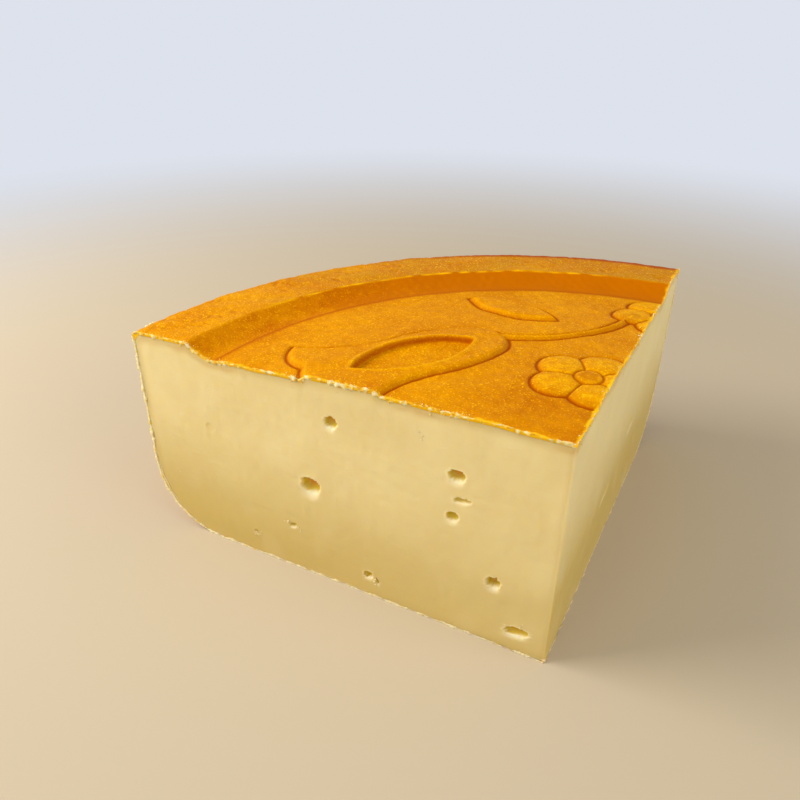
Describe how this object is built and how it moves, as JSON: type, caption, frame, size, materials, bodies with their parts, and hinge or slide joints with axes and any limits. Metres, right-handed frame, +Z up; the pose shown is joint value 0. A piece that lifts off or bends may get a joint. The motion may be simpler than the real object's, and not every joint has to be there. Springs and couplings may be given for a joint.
{
  "type": "cheese quarter wheel",
  "caption": "Quarter of a round semi-hard cheese wheel: orange rind with a raised rim and a moulded flower relief, and small eyes on its pale cut faces.",
  "frame": {"origin": "centre of the underside of the bounding box, on the surface that the cheese lies on", "axes": "+Z up along the wheel's axis; +X to the right along the front cut, towards the tip; +Y to the back, away from the front cut. The tip, where the wheel's axis was, is at +X and -Y, and the round heel lies towards -X and +Y"},
  "size_m": [0.16, 0.16, 0.085],
  "materials": {
    "paste": "pale yellow semi-hard cheese paste, smooth where cut, slightly translucent",
    "rind": "orange-yellow smear-ripened rind, thin and finely grained, slightly moist"
  },
  "bodies": {
    "root": {"cheese_quarter": "paste"}
  },
  "joints": []
}
